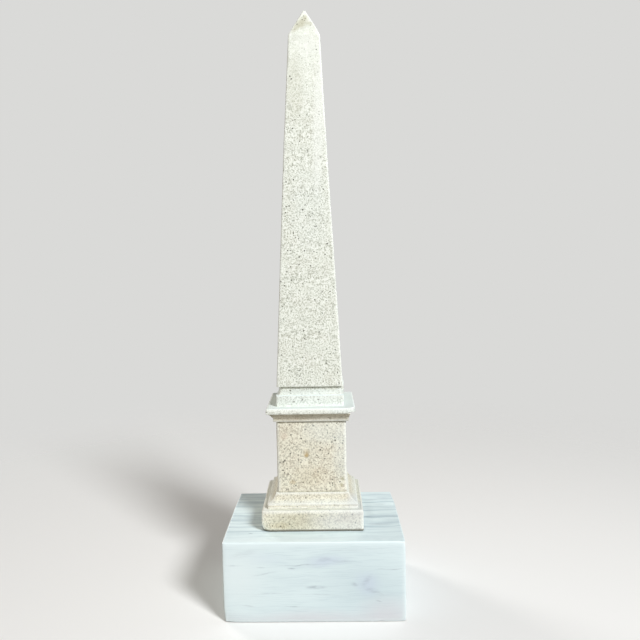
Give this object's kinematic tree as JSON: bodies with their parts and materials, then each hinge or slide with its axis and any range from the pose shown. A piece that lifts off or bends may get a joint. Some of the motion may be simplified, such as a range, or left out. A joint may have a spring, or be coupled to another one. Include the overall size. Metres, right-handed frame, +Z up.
{
  "type": "desk obelisk on a marble block",
  "caption": "Slim tapered stone obelisk with a pyramid point, standing on a moulded square pedestal and a thick veined marble block.",
  "frame": {"origin": "middle of the marble block's underside", "axes": "+Z up along the obelisk, -Y towards the front, +X to the right seen from the front"},
  "size_m": [0.174, 0.1434, 0.5905],
  "materials": {
    "marble": "honed white marble with faint grey-blue veins",
    "cast_stone": "matte cast stone, warm off-white with fine dark grains"
  },
  "bodies": {
    "root": {"marble_block": "marble", "base_plinth": "cast_stone", "base_moulding": "cast_stone", "pedestal_die": "cast_stone", "cornice_bed_mould": "cast_stone", "cornice_slab": "cast_stone", "shaft_foot": "cast_stone", "shaft": "cast_stone"}
  },
  "joints": []
}
